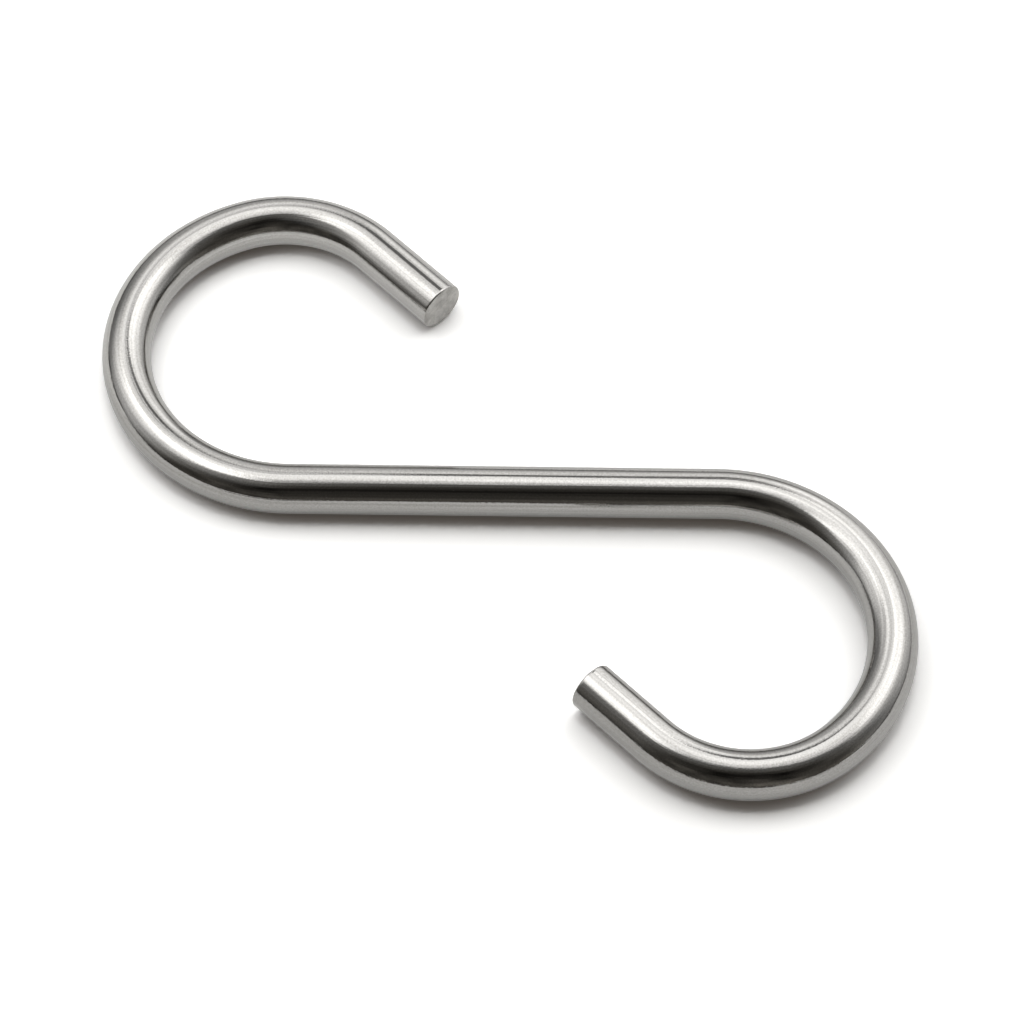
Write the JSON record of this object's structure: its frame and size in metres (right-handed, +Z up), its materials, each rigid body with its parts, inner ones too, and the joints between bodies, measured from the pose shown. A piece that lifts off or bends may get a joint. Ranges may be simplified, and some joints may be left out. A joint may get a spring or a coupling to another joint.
{
  "type": "s hook",
  "caption": "Plain S hook bent from round stainless bar: open hooks curl opposite ways off a straight shank, to hang things from a rail, rod or ring.",
  "frame": {"origin": "middle of the hook's outline, on the surface that the bar lies on", "axes": "+X along the straight shank, from the left hook to the right one; +Y from the shank towards the left hook's crown, in the plane of the S; +Z up, square to that plane"},
  "size_m": [0.0984, 0.0864, 0.006],
  "materials": {
    "bar": "polished drawn stainless bar, with fine lines along it and plain sawn ends"
  },
  "bodies": {
    "root": {"s_hook": "bar"}
  },
  "joints": []
}
